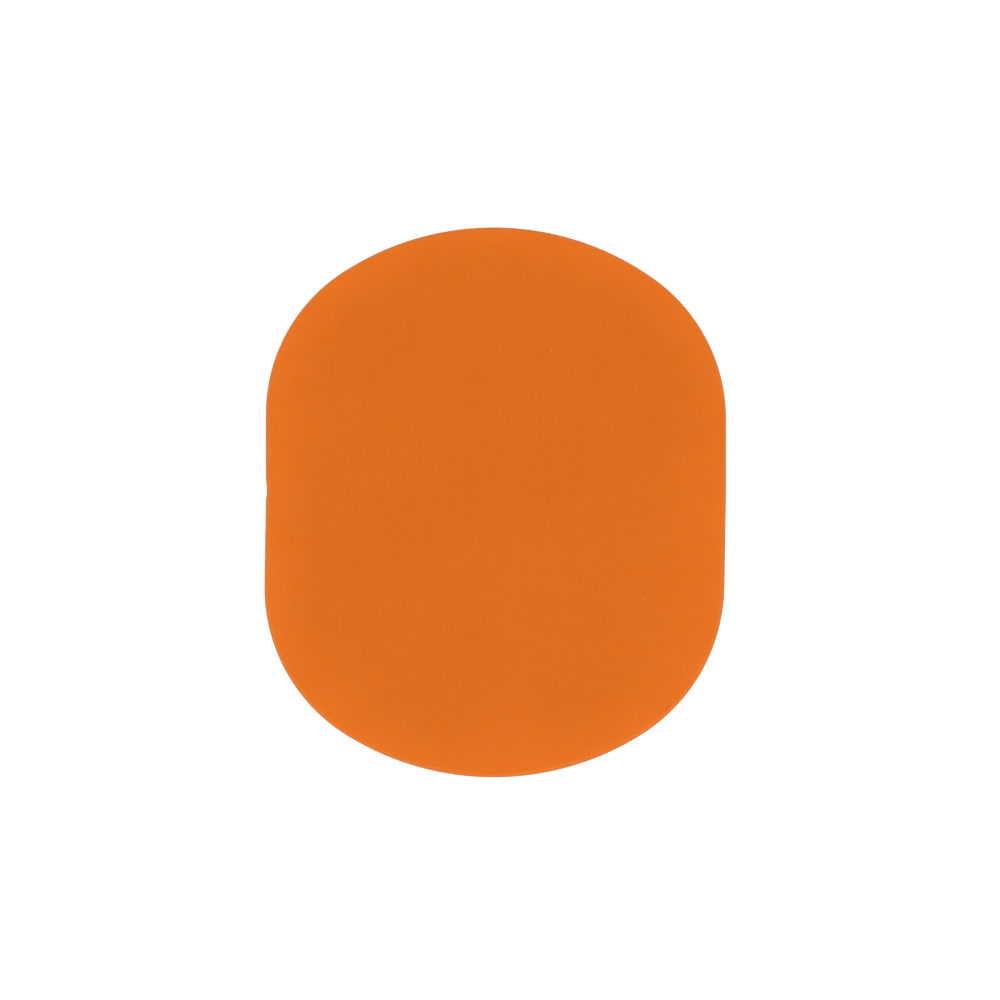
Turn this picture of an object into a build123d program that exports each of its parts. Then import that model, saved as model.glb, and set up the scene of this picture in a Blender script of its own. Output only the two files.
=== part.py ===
"""Flat drawing curve: one thin plastic plate, traced round its edge with a pen.

The closed edge is a run of tangent curves. A wide crown arc closes each end, a tighter arc turns
each of the four corners, and nearly straight sides join them. Hand finishing left the four corners
slightly different. The lower half leans a little against the upper one, so the right side bends
slightly at mid-height, and the left side has a shallow dip with a small step, where the cut starts
and closes.

Both faces are flat and both rims are softly rounded, so either face can lie on the paper.

Frame: millimetres. +Z is up, out of the upper face. +Y runs along the longer dimension. The origin
is at the centre of the plate's bounding box, at the height of the lower face.
"""

import os
from math import radians, tan

from build123d import *

# Driving dimensions of the plan, in millimetres and degrees.
LENGTH = 59.32  # over the two crowns
SIDE_RIGHT = 24.88  # from the cutting axis to the right side, above mid-height
SIDE_LEFT = 24.77  # from the cutting axis to the left side, above mid-height
CROWN_SHIFT = -0.2  # of both crowns' centres, sideways from the cutting axis
TOP_CROWN_RADIUS = 29.75
BOTTOM_CROWN_RADIUS = 30.0
TOP_LEFT_RADIUS = 18.2
TOP_RIGHT_RADIUS = 18.6
BOTTOM_LEFT_RADIUS = 18.7
BOTTOM_RIGHT_RADIUS = 19.2
LOWER_LEAN = 0.95  # of both sides below mid-height
BEND_HEIGHT = 1.5  # where the right side starts to lean

# Where the cut starts and closes, on the left side. Depths are measured in from that side.
DIP_START = 2.8  # the side starts to drift inward at this height
DIP_FLOOR_TOP = 1.6  # the deepest stretch is between these two heights
DIP_FLOOR_FOOT = 0.85
DIP_DEPTH = 0.1
STEP_FOOT = 0.4  # the step back out ends here
STEP_DEPTH = 0.01  # left over below the step

# Section.
THICKNESS = 2.0
RIM_RADIUS = 0.35


def leaning_side(x, y_start, y_end):
    """The x at y_end of a side that passes x at y_start and leans by LOWER_LEAN."""
    return x + (y_end - y_start) * tan(radians(LOWER_LEAN))


def side_strip():
    """The plan between the two sides, run past both crowns."""
    past_crown = LENGTH / 2
    right = [
        (SIDE_RIGHT, past_crown),
        (SIDE_RIGHT, BEND_HEIGHT),
        (leaning_side(SIDE_RIGHT, BEND_HEIGHT, -past_crown), -past_crown),
    ]
    foot_x = STEP_DEPTH - SIDE_LEFT
    floor_x = DIP_DEPTH - SIDE_LEFT
    left = [
        (leaning_side(foot_x, STEP_FOOT, -past_crown), -past_crown),
        (foot_x, STEP_FOOT),
        (floor_x, DIP_FLOOR_FOOT),
        (floor_x, DIP_FLOOR_TOP),
        (-SIDE_LEFT, DIP_START),
        (-SIDE_LEFT, past_crown),
    ]
    return make_face(Polyline(*right, *left, close=True))


def crown_cap(radius, end):
    """A crown and all the plan inside it, run past the other end: end is 1 for the top crown and
    -1 for the bottom one."""
    centre_y = end * (LENGTH / 2 - radius)
    below = Pos(CROWN_SHIFT, centre_y - end * radius) * Rectangle(2 * radius, 2 * radius)
    return below + Pos(CROWN_SHIFT, centre_y) * Circle(radius)


def turn_corner(outline, x_sign, y_sign, radius):
    """Round the corner furthest out that way, between a side and a crown."""
    corner = outline.vertices().sort_by(lambda v: x_sign * v.X + y_sign * v.Y)[-1]
    return fillet(corner, radius)


def plan():
    """The plate's outline as a face, centred on its bounding box."""
    outline = side_strip() & crown_cap(TOP_CROWN_RADIUS, 1) & crown_cap(BOTTOM_CROWN_RADIUS, -1)
    outline = turn_corner(outline, -1, 1, TOP_LEFT_RADIUS)
    outline = turn_corner(outline, 1, 1, TOP_RIGHT_RADIUS)
    outline = turn_corner(outline, -1, -1, BOTTOM_LEFT_RADIUS)
    outline = turn_corner(outline, 1, -1, BOTTOM_RIGHT_RADIUS)
    middle = outline.bounding_box().center()
    return Pos(-middle.X, -middle.Y) * outline


def curve_plate():
    """The whole plate, with both rims rounded."""
    blank = extrude(plan(), THICKNESS)
    rims = blank.edges().group_by(Axis.Z)
    return fillet(rims[0] + rims[-1], RIM_RADIUS)


os.makedirs("parts", exist_ok=True)
export_step(curve_plate(), "parts/curve_plate.step")
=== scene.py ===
"""Looks of the flat drawing curve: one thin matte orange plate on a pale floor, seen from above.

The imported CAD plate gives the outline, the thickness and the rounding of the rims. The plate that
shows is an all-quad mesh on those sizes. A round rim profile is swept along the smoothed outline,
rings follow the edge, and a square grid fills the middle of each face.
"""

from math import atan2, ceil, cos, hypot, pi, sin

import bpy
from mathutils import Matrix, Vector
from mathutils.kdtree import KDTree


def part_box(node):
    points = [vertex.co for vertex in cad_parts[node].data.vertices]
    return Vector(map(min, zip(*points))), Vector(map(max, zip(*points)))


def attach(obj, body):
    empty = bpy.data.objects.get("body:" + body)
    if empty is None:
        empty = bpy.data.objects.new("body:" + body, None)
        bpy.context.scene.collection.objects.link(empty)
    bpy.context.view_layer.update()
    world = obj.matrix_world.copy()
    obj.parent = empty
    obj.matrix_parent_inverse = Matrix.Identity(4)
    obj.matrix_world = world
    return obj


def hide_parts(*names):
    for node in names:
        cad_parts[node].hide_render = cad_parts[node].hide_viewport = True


MM = 0.001
NODE = "curve_plate"

# How the CAD mesh's vertices are compared: to this many decimal places of a metre, and as one level
# if their heights differ by less than this.
PLACES = 7
SAME_LEVEL = 0.001 * MM

# How finely the outline is divided. The CAD arcs come as chords, all shorter than STRAIGHT_CHORD. The
# runs of the small dip in the left side are shorter too, so its corners are softened like an arc's.
STRAIGHT_CHORD = 3.0 * MM
EDGE_STEP = 0.6 * MM
TURN_STEP = 1.7 * pi / 180

# Rim and face mesh. The rims were eased by hand, so their rounding reaches in a little further in
# some places than in others. Each wave is how often it repeats round the plate, its height as a share
# of the rim's size, and its start in radians.
RIM_STEPS = 7
RIM_WAVES = ((3, 0.1, 0.7), (7, 0.08, 2.1), (17, 0.06, 4.0))
# The rings on a face, as shares of the way from the rim to the core, which is the grid in its middle.
FACE_SHARES = (0.02, 0.05, 0.09, 0.14, 0.2, 0.28, 0.38, 0.5, 0.65, 0.82, 1.0)
CORE_SHARE = 0.42  # of the plate's half width and half length, to the middle of the core's sides
CORE_POWER = 3.5  # 2 is an ellipse, and higher is squarer

# The camera looks straight down from far away, through a long lens. At the height of the plate's upper
# face its picture is VIEW_WIDTH wide, with VIEW_CENTRE in the middle.
LENS_MM = 200
SENSOR_MM = 36
VIEW_WIDTH = 107.8 * MM
VIEW_CENTRE = (0.51 * MM, 0.26 * MM)

# Colours are linear RGB.
FACE_COLOUR = (0.702, 0.1405, 0.0015, 1)
# The next colour is painted edge light: the lighter orange that the faces take near their edge. The
# grain and clouds also lean towards it.
EDGE_LIGHT_AND_TONE_COLOUR = (0.803, 0.167, 0.006, 1)
# The next colour is painted shade on the steep rims and the wall.
WALL_SHADE_COLOUR = (0.62, 0.2, 0.05, 1)
# The next colour is a painted highlight along the rims' inner edge.
RIM_HIGHLIGHT_COLOUR = (0.82, 0.3, 0.1, 1)
GRAIN_COLOUR = (0.82, 0.42, 0.22, 1)
SPECK_COLOUR = (0.9, 0.32, 0.1, 1)
PIT_COLOUR = (0.5, 0.09, 0.001, 1)
# The reach of the painted edge light.
EDGE_LIGHT_REACH_MM = 3.2  # how far in from the edge the lighter tone fades by a factor e
END_MM = 28  # from the plate's middle to near each of its ends, along Y
FLOOR_COLOUR = (0.93, 0.93, 0.93, 1)
FLOOR_GLOW = 0.42
FLOOR_RADIUS = 0.6


# ---- The outline, from the CAD plate -------------------------------------------------------------

def wall_heights(mesh):
    """The heights between which the plate's side wall is upright: the widest gap in its vertices."""
    levels = sorted({round(v.co.z, PLACES) for v in mesh.vertices})
    return max(zip(levels, levels[1:]), key=lambda pair: pair[1] - pair[0])


def wall_points(mesh, height):
    """The wall's points at that height, once each, in order round the plate from -X through -Y."""
    level = [v.co for v in mesh.vertices if abs(v.co.z - height) < SAME_LEVEL]
    found = {(round(place.x, PLACES), round(place.y, PLACES)) for place in level}
    return [Vector(p) for p in sorted(found, key=lambda p: atan2(p[1], p[0]))]


def end_way(chord, neighbour):
    """The outline's direction where two chords meet, seen from the first. A straight side keeps its
    direction, and passes it on to an arc that leaves it."""
    if chord.length > STRAIGHT_CHORD:
        return chord.normalized()
    if neighbour.length > STRAIGHT_CHORD:
        return neighbour.normalized()
    return (chord.normalized() + neighbour.normalized()).normalized()


def chord_steps(chord, start, end):
    """How many pieces a chord is divided into: an even number, more where it turns more."""
    turn = start.angle(chord) + end.angle(chord)
    return 2 * max(1, ceil(max(chord.length / EDGE_STEP, turn / TURN_STEP) / 2))


def curve_point(a, b, start, end, t):
    """The point and direction at share t of the smooth curve from a to b with those directions."""
    length = (b - a).length
    point = (
        a * (2 * t**3 - 3 * t**2 + 1)
        + b * (3 * t**2 - 2 * t**3)
        + start * length * (t**3 - 2 * t**2 + t)
        + end * length * (t**3 - t**2)
    )
    way = (
        (b - a) * (6 * t - 6 * t**2)
        + start * length * (3 * t**2 - 4 * t + 1)
        + end * length * (3 * t**2 - 2 * t)
    )
    return point, way.normalized()


def smooth_outline(corners):
    """The outline as (point, outward normal) pairs, with the arcs between the corners filled in."""
    count = len(corners)
    chords = [corners[(i + 1) % count] - corners[i] for i in range(count)]
    outline = []
    for i, chord in enumerate(chords):
        start = end_way(chord, chords[i - 1])
        end = end_way(chord, chords[(i + 1) % count])
        steps = chord_steps(chord, start, end)
        for step in range(steps):
            point, way = curve_point(corners[i], corners[(i + 1) % count], start, end, step / steps)
            outline.append((point, Vector((way.y, -way.x))))
    return outline


# ---- The plate's mesh ----------------------------------------------------------------------------

class Surface:
    """Vertices with their normals, and the quads between them."""

    def __init__(self):
        self.points = []
        self.normals = []
        self.wall_shares = []
        self.quads = []

    def add(self, point, normal, wall_share=0.0):
        """One vertex. wall_share is 0 on a face and 1 on the side wall. Returns its index."""
        self.points.append(point)
        self.normals.append(normal)
        self.wall_shares.append(wall_share)
        return len(self.points) - 1

    def band(self, first, second):
        """Quads between two closed rings, facing out when the second ring is further down."""
        for i in range(len(first)):
            j = (i + 1) % len(first)
            self.quads.append((first[i], second[i], second[j], first[j]))


def rim_reaches(count, rim):
    """How far in from the wall the rounding reaches at each point of the outline."""
    reaches = []
    for i in range(count):
        turn = 2 * pi * i / count
        waves = [height * sin(times * turn + start) for times, height, start in RIM_WAVES]
        reaches.append(rim * (1 + sum(waves)))
    return reaches


def rim_ring(surface, outline, reaches, rim, tilt, level, up):
    """A ring round one rim, at that angle from the flat of its face, whose height is level. up is 1
    for the upper rim and -1 for the lower one."""
    ring = []
    for (point, out), reach in zip(outline, reaches):
        place = point - out * reach * (1 - sin(tilt))
        height = level - up * rim * (1 - cos(tilt))
        outward, upward = sin(tilt) / reach, cos(tilt) / rim
        length = hypot(outward, upward)
        normal = (out.x * outward / length, out.y * outward / length, up * upward / length)
        ring.append(surface.add((place.x, place.y, height), normal, outward / length))
    return ring


def core_outline(outline, half_width, half_length):
    """The edge of the grid in the middle of a face: a rounded square in step with the outline."""
    core = []
    for point, _ in outline:
        angle = atan2(point.y, point.x)
        powers = abs(cos(angle)) ** CORE_POWER + abs(sin(angle)) ** CORE_POWER
        reach = CORE_SHARE / powers ** (1 / CORE_POWER)
        core.append(Vector((half_width * reach * cos(angle), half_length * reach * sin(angle))))
    return core


def face_rings(surface, outline, reaches, core, height, up):
    """Rings on one flat face, from the rim's inner edge to the core, the outermost first."""
    rings = []
    for share in FACE_SHARES:
        ring = []
        for (point, out), reach, inner in zip(outline, reaches, core):
            place = (point - out * reach).lerp(inner, share)
            ring.append(surface.add((place.x, place.y, height), (0, 0, up)))
        rings.append(ring)
    return rings


def core_grid(surface, ring, core, height, up):
    """A square grid of quads inside the ring. Its four sides are stretches of the ring."""
    count = len(ring)
    # The grid's lower corners: the points of the ring nearest to the diagonals through -Y.
    start = min(range(count), key=lambda i: abs(atan2(core[i].y, core[i].x) + 3 * pi / 4))
    right = min(range(count), key=lambda i: abs(atan2(core[i].y, core[i].x) + pi / 4))
    across = (right - start) % count
    along = count // 2 - across
    bottom = [(start + i) % count for i in range(across + 1)]
    right_side = [(start + across + i) % count for i in range(along + 1)]
    top = [(start + 2 * across + along - i) % count for i in range(across + 1)]
    left = [(start - i) % count for i in range(along + 1)]
    grid = []
    for j in range(along + 1):
        v = j / along
        row = []
        for i in range(across + 1):
            u = i / across
            if j == 0:
                row.append(ring[bottom[i]])
            elif j == along:
                row.append(ring[top[i]])
            elif i == 0:
                row.append(ring[left[j]])
            elif i == across:
                row.append(ring[right_side[j]])
            else:
                # A Coons patch: both blends of two facing sides, less the blend of the four corners.
                upright = core[bottom[i]].lerp(core[top[i]], v)
                level = core[left[j]].lerp(core[right_side[j]], u)
                low_side = core[bottom[0]].lerp(core[bottom[-1]], u)
                high_side = core[top[0]].lerp(core[top[-1]], u)
                place = upright + level - low_side.lerp(high_side, v)
                row.append(surface.add((place.x, place.y, height), (0, 0, up)))
        grid.append(row)
    for low_row, high_row in zip(grid, grid[1:]):
        for i in range(across):
            quad = (low_row[i], low_row[i + 1], high_row[i + 1], high_row[i])
            surface.quads.append(quad if up > 0 else quad[::-1])


def plate_surface(outline, half_width, half_length, thickness, rim):
    """The whole plate: the upper face, the rims with the wall between them, the lower face."""
    surface = Surface()
    core = core_outline(outline, half_width, half_length)
    reaches = rim_reaches(len(outline), rim)
    tilts = [pi / 2 * k / RIM_STEPS for k in range(RIM_STEPS + 1)]
    top = face_rings(surface, outline, reaches, core, thickness, 1)
    bottom = face_rings(surface, outline, reaches, core, 0, -1)
    upper = [rim_ring(surface, outline, reaches, rim, tilt, thickness, 1) for tilt in tilts]
    lower = [rim_ring(surface, outline, reaches, rim, tilt, 0, -1) for tilt in tilts]
    rings = top[::-1] + upper + lower[::-1] + bottom
    for first, second in zip(rings, rings[1:]):
        surface.band(first, second)
    core_grid(surface, top[-1], core, thickness, 1)
    core_grid(surface, bottom[-1], core, 0, -1)
    return surface


def edge_distances(surface, outline):
    """How far each vertex is from the plate's edge, seen from above, in millimetres."""
    tree = KDTree(len(outline))
    for i, (point, _) in enumerate(outline):
        tree.insert((point.x, point.y, 0), i)
    tree.balance()
    return [tree.find((x, y, 0))[2] / MM for x, y, _ in surface.points]


def make_plate():
    """The plate that shows, built on the CAD plate's outline, box and rim."""
    # The CAD plate is centred on the origin and stands on it, so the highest corner of its box is half
    # its width, half its length and its thickness.
    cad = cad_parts[NODE].data
    low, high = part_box(NODE)
    wall_foot, wall_top = wall_heights(cad)
    outline = smooth_outline(wall_points(cad, wall_top))
    surface = plate_surface(outline, high.x, high.y, high.z, wall_foot - low.z)
    mesh = bpy.data.meshes.new("drawing_plate")
    mesh.from_pydata(surface.points, [], surface.quads)
    mesh.shade_smooth()
    mesh.normals_split_custom_set_from_vertices(surface.normals)
    distance = mesh.attributes.new("edge_distance", "FLOAT", "POINT")
    distance.data.foreach_set("value", edge_distances(surface, outline))
    wall = mesh.attributes.new("wall_share", "FLOAT", "POINT")
    wall.data.foreach_set("value", surface.wall_shares)
    plate = bpy.data.objects.new("drawing_plate", mesh)
    bpy.context.scene.collection.objects.link(plate)
    return plate


# ---- Materials -----------------------------------------------------------------------------------

class Nodes:
    """A material's node tree, with short calls for the nodes that it uses."""

    def __init__(self, name):
        self.material = bpy.data.materials.new(name)
        self.material.use_nodes = True
        self.tree = self.material.node_tree
        self.shader = self.tree.nodes["Principled BSDF"]

    def node(self, kind, **settings):
        """A node of that kind, with its settings."""
        made = self.tree.nodes.new(kind)
        for name, value in settings.items():
            setattr(made, name, value)
        return made

    def feed(self, socket, value):
        """Links a socket to another's output, or sets it to a number, colour or vector."""
        if isinstance(value, bpy.types.NodeSocket):
            self.tree.links.new(value, socket)
        else:
            socket.default_value = value

    def attribute(self, name):
        """A vertex attribute's value."""
        return self.node("ShaderNodeAttribute", attribute_name=name).outputs["Fac"]

    def math(self, operation, *values):
        """A sum, product or other operation on numbers."""
        made = self.node("ShaderNodeMath", operation=operation)
        for socket, value in zip(made.inputs, values):
            self.feed(socket, value)
        return made.outputs[0]

    def ramp(self, value, low, high, to_low=0.0, to_high=1.0):
        """The value carried smoothly from one range to another, and held at its ends."""
        made = self.node("ShaderNodeMapRange", interpolation_type="SMOOTHSTEP")
        for name, number in (
            ("Value", value),
            ("From Min", low),
            ("From Max", high),
            ("To Min", to_low),
            ("To Max", to_high),
        ):
            self.feed(made.inputs[name], number)
        return made.outputs["Result"]

    def mix(self, share, first, second, kind="RGBA"):
        """A mix of two colours, or of two numbers if kind is FLOAT. The share may pass 0 and 1."""
        made = self.node("ShaderNodeMix", data_type=kind, clamp_factor=False)
        shown = [socket for socket in made.inputs if socket.enabled]
        for socket, value in zip(shown, (share, first, second)):
            self.feed(socket, value)
        return next(socket for socket in made.outputs if socket.enabled)

    def scaled(self, vector, factors):
        """A vector times three factors."""
        made = self.node("ShaderNodeVectorMath", operation="MULTIPLY")
        self.feed(made.inputs[0], vector)
        self.feed(made.inputs[1], factors)
        return made.outputs[0]

    def along(self, place, low, high):
        """A number that goes from low at the plate's +Y end to high at its -Y end."""
        axes = self.node("ShaderNodeSeparateXYZ")
        self.feed(axes.inputs[0], place)
        return self.ramp(axes.outputs["Y"], END_MM, -END_MM, low, high)

    def noise(self, place, scale, detail, roughness):
        """A noise value about 0.5, with scale features to a millimetre."""
        made = self.node("ShaderNodeTexNoise")
        self.feed(made.inputs["Vector"], place)
        self.feed(made.inputs["Scale"], scale)
        self.feed(made.inputs["Detail"], detail)
        self.feed(made.inputs["Roughness"], roughness)
        return made.outputs["Fac"]

    def patches(self, place, scale, low, high, detail=2.0, roughness=0.5, spread=0.2):
        """Noise that wanders between low and high, and stays at either where it is more than spread
        from its middle value."""
        noise = self.noise(place, scale, detail, roughness)
        return self.ramp(noise, 0.5 - spread, 0.5 + spread, low, high)


def place_in_mm(nodes):
    """The point on the plate, in millimetres in the plate's own frame."""
    place = nodes.node("ShaderNodeTexCoord").outputs["Object"]
    return nodes.scaled(place, (1 / MM, 1 / MM, 1 / MM))


def dot_share(nodes, place, on_wall, cells_per_mm):
    """Tiny round dots on the faces, one to a cell. One in a hundred is at full strength, and the
    others are fainter, most of them too faint to see."""
    full_share = 0.01
    radius_mm = 0.075
    solid_share = 0.4  # of the radius
    cells = nodes.node("ShaderNodeTexVoronoi", voronoi_dimensions="2D")
    nodes.feed(cells.inputs["Vector"], place)
    nodes.feed(cells.inputs["Scale"], cells_per_mm)
    lot = nodes.node("ShaderNodeSeparateColor")
    nodes.feed(lot.inputs["Color"], cells.outputs["Color"])
    strength = nodes.math("MINIMUM", nodes.math("DIVIDE", full_share, lot.outputs["Red"]), 1.0)
    reach = radius_mm * cells_per_mm
    near = nodes.ramp(cells.outputs["Distance"], reach, reach * solid_share)
    on_face = nodes.math("SUBTRACT", 1.0, on_wall)
    return nodes.math("MULTIPLY", nodes.math("MULTIPLY", strength, near), on_face)


def painted_rim_highlight_share(nodes, place, distance):
    """How far the rim gets a painted highlight: a faint broken pale line that wanders along the
    rounding's inner edge, stronger towards the plate's -Y end, which faces the key light."""
    half_width_mm = 0.17
    full_half_width_mm = 0.02
    centre_mm = nodes.patches(place, scale=0.2, low=0.2, high=0.42)
    off_centre = nodes.math("ABSOLUTE", nodes.math("SUBTRACT", distance, centre_mm))
    line = nodes.ramp(off_centre, half_width_mm, full_half_width_mm)
    broken = nodes.patches(place, scale=0.6, low=0.04, high=0.19, detail=3, spread=0.15)
    towards_key_light = nodes.along(place, low=0.25, high=1.6)
    return nodes.math("MULTIPLY", line, nodes.math("MULTIPLY", broken, towards_key_light))


def cut_lines(nodes, place):
    """Long fine lines along the wall, from scraping it smooth, as numbers about 0.5."""
    across_per_mm = 9
    along_per_mm = 0.1
    stretched = nodes.scaled(place, (along_per_mm, along_per_mm, across_per_mm))
    return nodes.noise(stretched, scale=1, detail=3, roughness=0.6)


def painted_rim_shade_share(nodes, on_wall, lines):
    """How far painted shade makes the scraped wall and the steep part of the rims darker than the
    faces, varying with the scraped lines.
    """
    steep = nodes.ramp(on_wall, low=0.1, high=0.8)
    between_lines = nodes.ramp(lines, low=0.3, high=0.7, to_low=1.0, to_high=0.62)
    return nodes.math("MULTIPLY", steep, between_lines)


def plate_colour(nodes, place, distance, on_wall, lines):
    """Orange, with a very fine grain, faint clouds, pale specks and dark pits. Painted light makes it
    lighter near the edge, and lighter towards the plate's -Y end, which faces the key light. A painted
    highlight runs pale along the rims' inner edge, and painted shade darkens them where they are
    steep."""
    # Painted edge light: the faces are painted lighter towards the edge, fading inwards.
    fade = nodes.math("EXPONENT", nodes.math("MULTIPLY", distance, -1 / EDGE_LIGHT_REACH_MM))
    painted_edge_light = nodes.math("MULTIPLY", fade, nodes.patches(place, scale=0.17, low=0.9, high=1.1))
    grain = nodes.patches(place, scale=5, low=-0.2, high=0.2, roughness=0.6, spread=0.3)
    clouds = nodes.patches(place, scale=0.08, low=-0.1, high=0.1)
    # Painted light: the -Y end, which faces the key light, is painted lighter. The clouds are the
    # plastic's own tone.
    clouds_and_painted_end_light = nodes.math("ADD", clouds, nodes.along(place, low=-0.09, high=0.06))
    # This share adds the painted light to the plate's own grain and clouds.
    share = nodes.math("ADD", nodes.math("ADD", painted_edge_light, grain), clouds_and_painted_end_light)
    pale_grain = nodes.patches(place, scale=6, low=-0.045, high=0.045, spread=0.3)
    face = nodes.mix(pale_grain, nodes.mix(share, FACE_COLOUR, EDGE_LIGHT_AND_TONE_COLOUR), GRAIN_COLOUR)
    # Painted highlight: a pale line along the rims' inner edge.
    with_painted_highlight = nodes.mix(painted_rim_highlight_share(nodes, place, distance), face, RIM_HIGHLIGHT_COLOUR)
    # Painted shade: the steep rims and the wall are painted darker.
    with_painted_rim_shade = nodes.mix(painted_rim_shade_share(nodes, on_wall, lines), with_painted_highlight, WALL_SHADE_COLOUR)
    pits = dot_share(nodes, place, on_wall, cells_per_mm=0.63)
    specks = dot_share(nodes, place, on_wall, cells_per_mm=0.5)
    return nodes.mix(specks, nodes.mix(pits, with_painted_rim_shade, PIT_COLOUR), SPECK_COLOUR)


def plate_bump(nodes, place, on_wall, lines):
    """A fine matte texture on the faces, and the scraped lines along the wall."""
    depth = 0.006 * MM
    texture = nodes.noise(place, scale=7, detail=2, roughness=0.6)
    bump = nodes.node("ShaderNodeBump")
    nodes.feed(bump.inputs["Strength"], 1.0)
    nodes.feed(bump.inputs["Distance"], depth)
    nodes.feed(bump.inputs["Height"], nodes.mix(on_wall, texture, lines, "FLOAT"))
    return bump.outputs["Normal"]


def orange_plastic():
    """Matte plastic, a little shinier in some places than in others."""
    nodes = Nodes("matte_orange_plastic")
    place = place_in_mm(nodes)
    distance = nodes.attribute("edge_distance")
    on_wall = nodes.attribute("wall_share")
    lines = cut_lines(nodes, place)
    roughness = nodes.patches(place, scale=0.6, low=0.63, high=0.74, detail=3, roughness=0.6)
    shader = nodes.shader
    nodes.feed(shader.inputs["Base Color"], plate_colour(nodes, place, distance, on_wall, lines))
    nodes.feed(shader.inputs["Roughness"], roughness)
    nodes.feed(shader.inputs["Normal"], plate_bump(nodes, place, on_wall, lines))
    nodes.feed(shader.inputs["Specular IOR Level"], 0.17)
    return nodes.material


def floor_material():
    """A pale, even, slightly luminous table top."""
    nodes = Nodes("pale_floor")
    shader = nodes.shader
    nodes.feed(shader.inputs["Base Color"], FLOOR_COLOUR)
    nodes.feed(shader.inputs["Roughness"], 0.9)
    nodes.feed(shader.inputs["Specular IOR Level"], 0.1)
    nodes.feed(shader.inputs["Emission Color"], (1, 1, 1, 1))
    nodes.feed(shader.inputs["Emission Strength"], FLOOR_GLOW)
    return nodes.material


# ---- Studio --------------------------------------------------------------------------------------

def make_floor():
    """A round pale floor, just under the plate."""
    sides = 96
    drop = 0.005 * MM
    corners = [
        (FLOOR_RADIUS * cos(2 * pi * i / sides), FLOOR_RADIUS * sin(2 * pi * i / sides), -drop)
        for i in range(sides)
    ]
    mesh = bpy.data.meshes.new("floor")
    mesh.from_pydata(corners, [], [tuple(range(sides))])
    mesh.materials.append(floor_material())
    floor = bpy.data.objects.new("floor", mesh)
    bpy.context.scene.collection.objects.link(floor)


def make_sun(name, azimuth, from_vertical, strength, softness):
    """A soft light from far away. Azimuth 0 is over -Y and 90 over +X. The angles are in degrees."""
    data = bpy.data.lights.new(name, "SUN")
    data.energy = strength
    data.angle = softness * pi / 180
    light = bpy.data.objects.new(name, data)
    light.rotation_euler = (from_vertical * pi / 180, 0, azimuth * pi / 180)
    bpy.context.scene.collection.objects.link(light)


def make_lights():
    """A soft light overhead, and one from each side. The strongest side light is over -Y."""
    make_sun("overhead", azimuth=0, from_vertical=0, strength=1.45, softness=50)
    make_sun("front_key", azimuth=0, from_vertical=45, strength=0.8, softness=40)
    make_sun("right_fill", azimuth=90, from_vertical=50, strength=0.52, softness=40)
    make_sun("left_fill", azimuth=-90, from_vertical=50, strength=0.47, softness=40)
    make_sun("back_fill", azimuth=180, from_vertical=50, strength=0.28, softness=40)


def make_world():
    """Studio walls: pale near the horizon and dark overhead, so that no glare washes the plate out."""
    pale_below, dark_above = 0.06, 0.22  # sines of the angle up from the horizon
    pale, dark = 1.0, 0.1
    world = bpy.data.worlds.new("studio")
    world.use_nodes = True
    tree = world.node_tree
    place = tree.nodes.new("ShaderNodeTexCoord")
    split = tree.nodes.new("ShaderNodeSeparateXYZ")
    ramp = tree.nodes.new("ShaderNodeMapRange")
    ramp.interpolation_type = "SMOOTHSTEP"
    ramp.inputs["From Min"].default_value = pale_below
    ramp.inputs["From Max"].default_value = dark_above
    ramp.inputs["To Min"].default_value = pale
    ramp.inputs["To Max"].default_value = dark
    background = tree.nodes["Background"]
    background.inputs["Color"].default_value = (1, 1, 1, 1)
    tree.links.new(place.outputs["Generated"], split.inputs[0])
    tree.links.new(split.outputs["Z"], ramp.inputs["Value"])
    tree.links.new(ramp.outputs["Result"], background.inputs["Strength"])
    bpy.context.scene.world = world


def make_camera(top):
    """A camera straight above the plate, with +Y up in its picture."""
    data = bpy.data.cameras.new("camera")
    data.lens = LENS_MM
    data.sensor_width = SENSOR_MM
    camera = bpy.data.objects.new("camera", data)
    camera.location = (*VIEW_CENTRE, top + VIEW_WIDTH * LENS_MM / SENSOR_MM)
    bpy.context.scene.collection.objects.link(camera)
    bpy.context.scene.camera = camera


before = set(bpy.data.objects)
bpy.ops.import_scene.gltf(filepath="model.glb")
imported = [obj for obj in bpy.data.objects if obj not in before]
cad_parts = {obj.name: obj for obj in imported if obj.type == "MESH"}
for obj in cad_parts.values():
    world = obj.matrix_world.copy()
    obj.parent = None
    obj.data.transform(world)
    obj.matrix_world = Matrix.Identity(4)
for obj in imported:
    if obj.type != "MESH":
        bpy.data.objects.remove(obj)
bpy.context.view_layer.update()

make_camera(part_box(NODE)[1].z)
plate = make_plate()
plate.data.materials.append(orange_plastic())
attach(plate, "root")
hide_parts(NODE)

make_floor()
make_lights()
make_world()
bpy.context.scene.view_settings.view_transform = "Standard"
